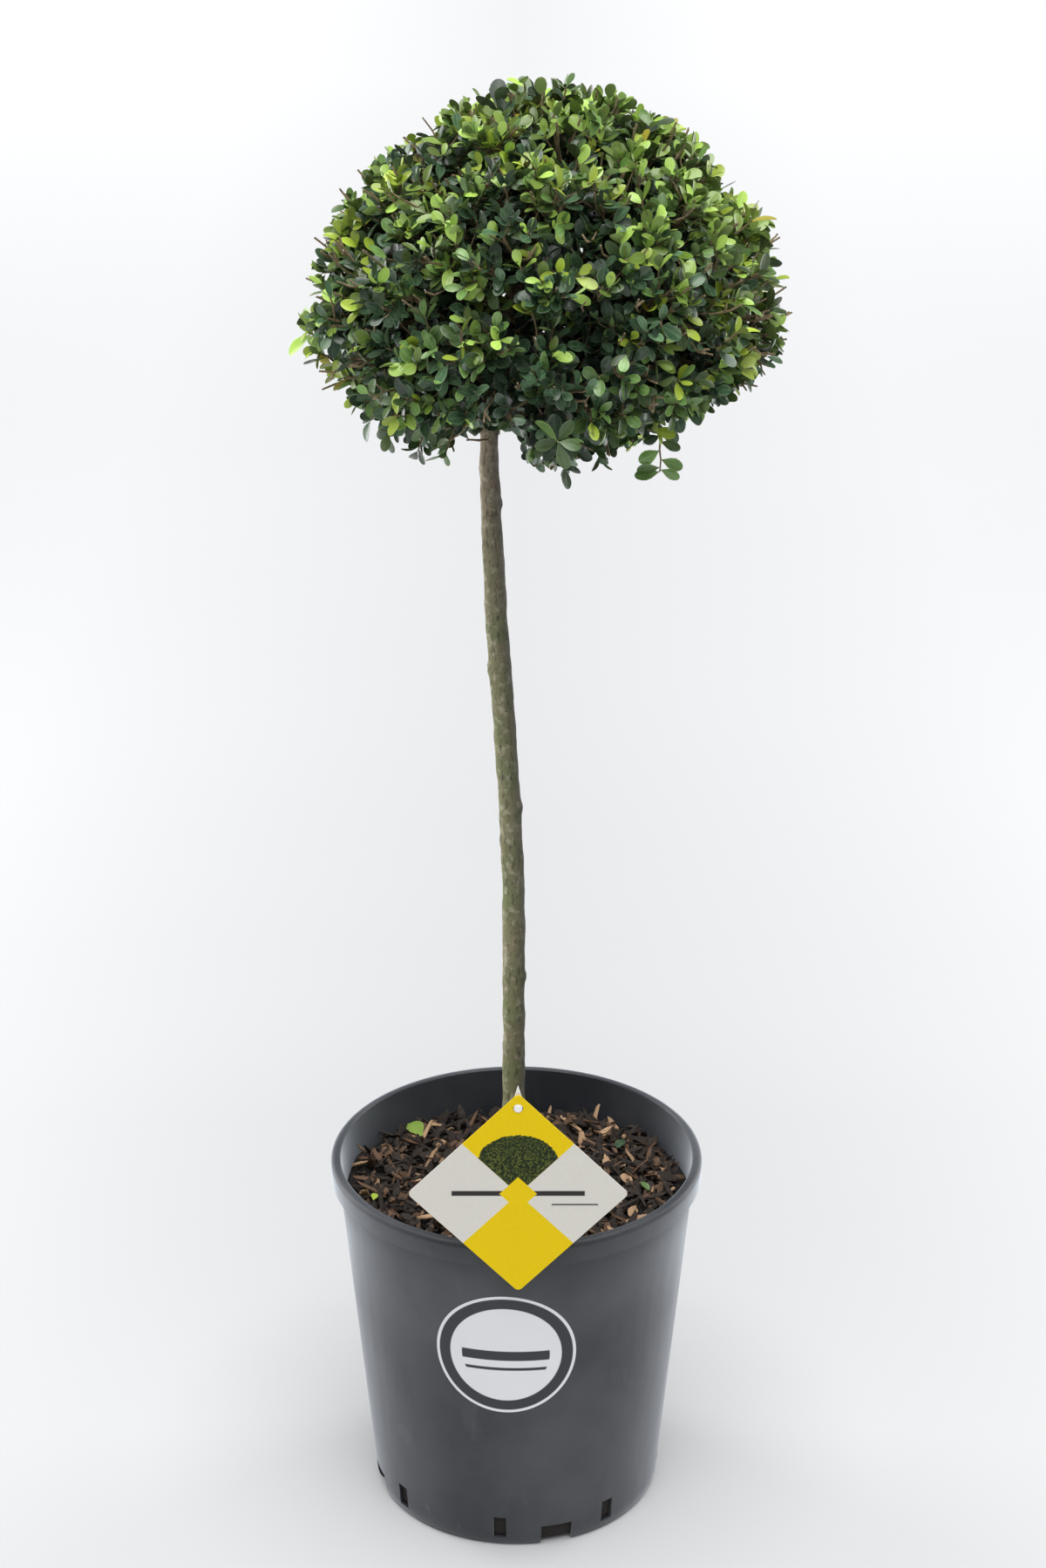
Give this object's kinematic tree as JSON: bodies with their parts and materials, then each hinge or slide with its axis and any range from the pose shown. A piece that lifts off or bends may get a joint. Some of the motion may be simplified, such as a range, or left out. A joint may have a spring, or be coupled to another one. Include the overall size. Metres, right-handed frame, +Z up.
{
  "type": "standard lollipop topiary, small-leaved holly, in a nursery pot",
  "caption": "Clipped ball of small dark green leaves on a bare upright stem, growing in a round black plastic nursery pot with a hanging plant label.",
  "frame": {"origin": "middle of the pot's flat underside, on the surface that the plant stands on", "axes": "+Z up along the pot's axis, -Y to the front, where the label hangs over the rim, +X to the right as seen from the front"},
  "size_m": [0.3472, 0.3466, 1.1676],
  "materials": {
    "pot": "satin",
    "compost": "matte",
    "bark": "matte",
    "leaves": "satin",
    "label_card": "satin",
    "label_stick": "satin"
  },
  "bodies": {
    "root": {"pot": "pot", "soil": "compost", "trunk": "bark", "bough_lower_1": "bark", "bough_lower_2": "bark", "bough_lower_3": "bark", "bough_lower_4": "bark", "bough_lower_5": "bark", "bough_upper_1": "bark", "bough_upper_2": "bark", "bough_upper_3": "bark", "foliage_lower_1": "leaves", "foliage_lower_2": "leaves", "foliage_lower_3": "leaves", "foliage_lower_4": "leaves", "foliage_lower_5": "leaves", "foliage_upper_1": "leaves", "foliage_upper_2": "leaves", "foliage_upper_3": "leaves", "foliage_top": "leaves", "plant_label": "label_card", "label_stick": "label_stick"}
  },
  "joints": []
}
